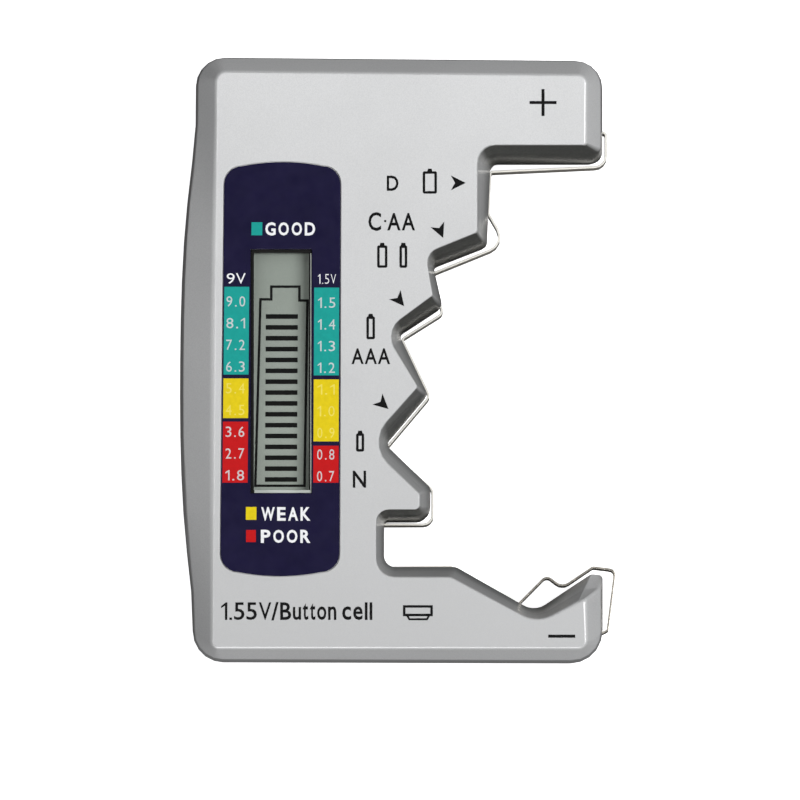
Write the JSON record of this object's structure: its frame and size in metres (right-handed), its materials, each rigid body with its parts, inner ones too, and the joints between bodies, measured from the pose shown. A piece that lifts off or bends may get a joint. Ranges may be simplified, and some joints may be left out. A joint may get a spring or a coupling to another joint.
{
  "type": "battery tester",
  "caption": "Pocket battery tester: card-shaped case with a stepped jaw for round cells, a button-cell slot, a sprung contact loop and an LCD bar gauge.",
  "frame": {"origin": "centre of the outline on the back face, where the tester rests on a table", "axes": "+Z is the normal of the face with the display, +Y points to the top edge (the end with the positive jaw), +X points to the open side of the jaw"},
  "size_m": [0.0663, 0.0922, 0.02],
  "materials": {
    "case_silver": "silver metallic paint, satin",
    "case_rear": "silver-grey, fine moulded texture",
    "label_film": "dark blue printed film, satin gloss",
    "clear_lens": "clear polished acrylic",
    "black_plastic": "black, matt",
    "lcd_glass": "grey-green display glass",
    "reflector_film": "silvery diffusing film",
    "foam": "black closed-cell foam",
    "zebra_rubber": "striped silicone",
    "board_laminate": "green solder mask",
    "black_resin": "black epoxy",
    "resistor_body": "tan lacquer with bands",
    "ferrite": "dark grey sintered",
    "capacitor_sleeve": "dark blue sleeve",
    "nickel_strip": "nickel-plated, bright rolled",
    "spring_strip": "nickel-plated spring strip",
    "screw_steel": "zinc-plated",
    "lead_red": "red insulation",
    "lead_black": "black insulation"
  },
  "bodies": {
    "tester": {"front_shell": "case_silver", "rear_shell": "case_rear", "case_screw_1": "screw_steel", "case_screw_2": "screw_steel", "case_screw_3": "screw_steel", "case_screw_4": "screw_steel", "display_label": "label_film", "window_lens": "clear_lens", "lcd_bezel": "black_plastic", "lcd_front_glass": "lcd_glass", "lcd_rear_glass": "lcd_glass", "lcd_reflector": "reflector_film", "lcd_foam_pad": "foam", "zebra_connector": "zebra_rubber", "circuit_board": "board_laminate", "board_screw_1": "screw_steel", "board_screw_2": "screw_steel", "board_screw_3": "screw_steel", "board_screw_4": "screw_steel", "controller_blob": "black_resin", "load_resistor_a": "resistor_body", "load_resistor_b": "resistor_body", "boost_inductor": "ferrite", "filter_capacitor": "capacitor_sleeve", "signal_diode": "black_resin", "positive_contact_strip": "nickel_strip", "button_cell_contact": "nickel_strip", "nine_volt_positive_contact": "nickel_strip", "nine_volt_negative_contact": "nickel_strip", "positive_lead": "lead_red", "negative_lead": "lead_black", "nine_volt_positive_lead": "lead_red", "nine_volt_negative_lead": "lead_black"},
    "negative_spring": {"negative_spring_contact": "spring_strip"}
  },
  "joints": [
    {"name": "negative_spring_flex", "type": "hinge", "parent": "tester", "child": "negative_spring", "pos_m": [0.015, -0.04048, 0.01], "axis": [0, 0, 1], "range_deg": [-1.6, 3], "stiffness_Nm_per_rad": 0.225}
  ]
}
